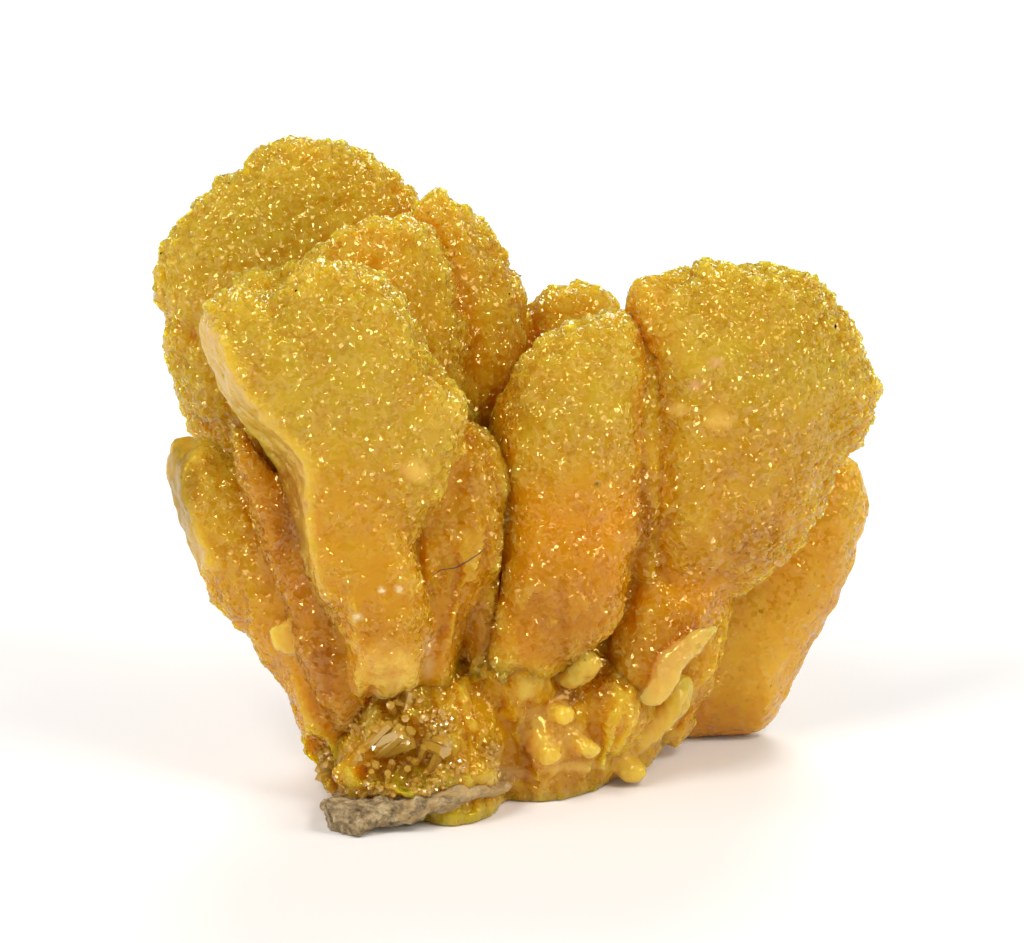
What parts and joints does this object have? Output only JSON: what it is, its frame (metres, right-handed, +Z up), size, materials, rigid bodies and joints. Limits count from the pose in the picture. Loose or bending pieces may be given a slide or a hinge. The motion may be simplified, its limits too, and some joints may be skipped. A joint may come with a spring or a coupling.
{
  "type": "mimetite specimen",
  "caption": "Free-standing mineral specimen: a yellow rosette of thick botryoidal petals with a sparkling skin, on a broken foot with crystal-lined hollows and a chip of rock.",
  "frame": {"origin": "middle of the footprint of the whole specimen, on the flat that it stands on", "axes": "+X along the specimen's long side, to the right in the picture, +Y towards its back, +Z up"},
  "size_m": [0.0386, 0.0176, 0.034],
  "materials": {
    "mimetite_yellow": "resinous, covered with fine sparkling crystals",
    "rock_grey": "dull and granular",
    "clear_crystal": "clear, glassy"
  },
  "bodies": {
    "root": {"mimetite": "mimetite_yellow", "matrix": "rock_grey", "vug_crystals": "clear_crystal", "edge_crystals": "clear_crystal"}
  },
  "joints": []
}
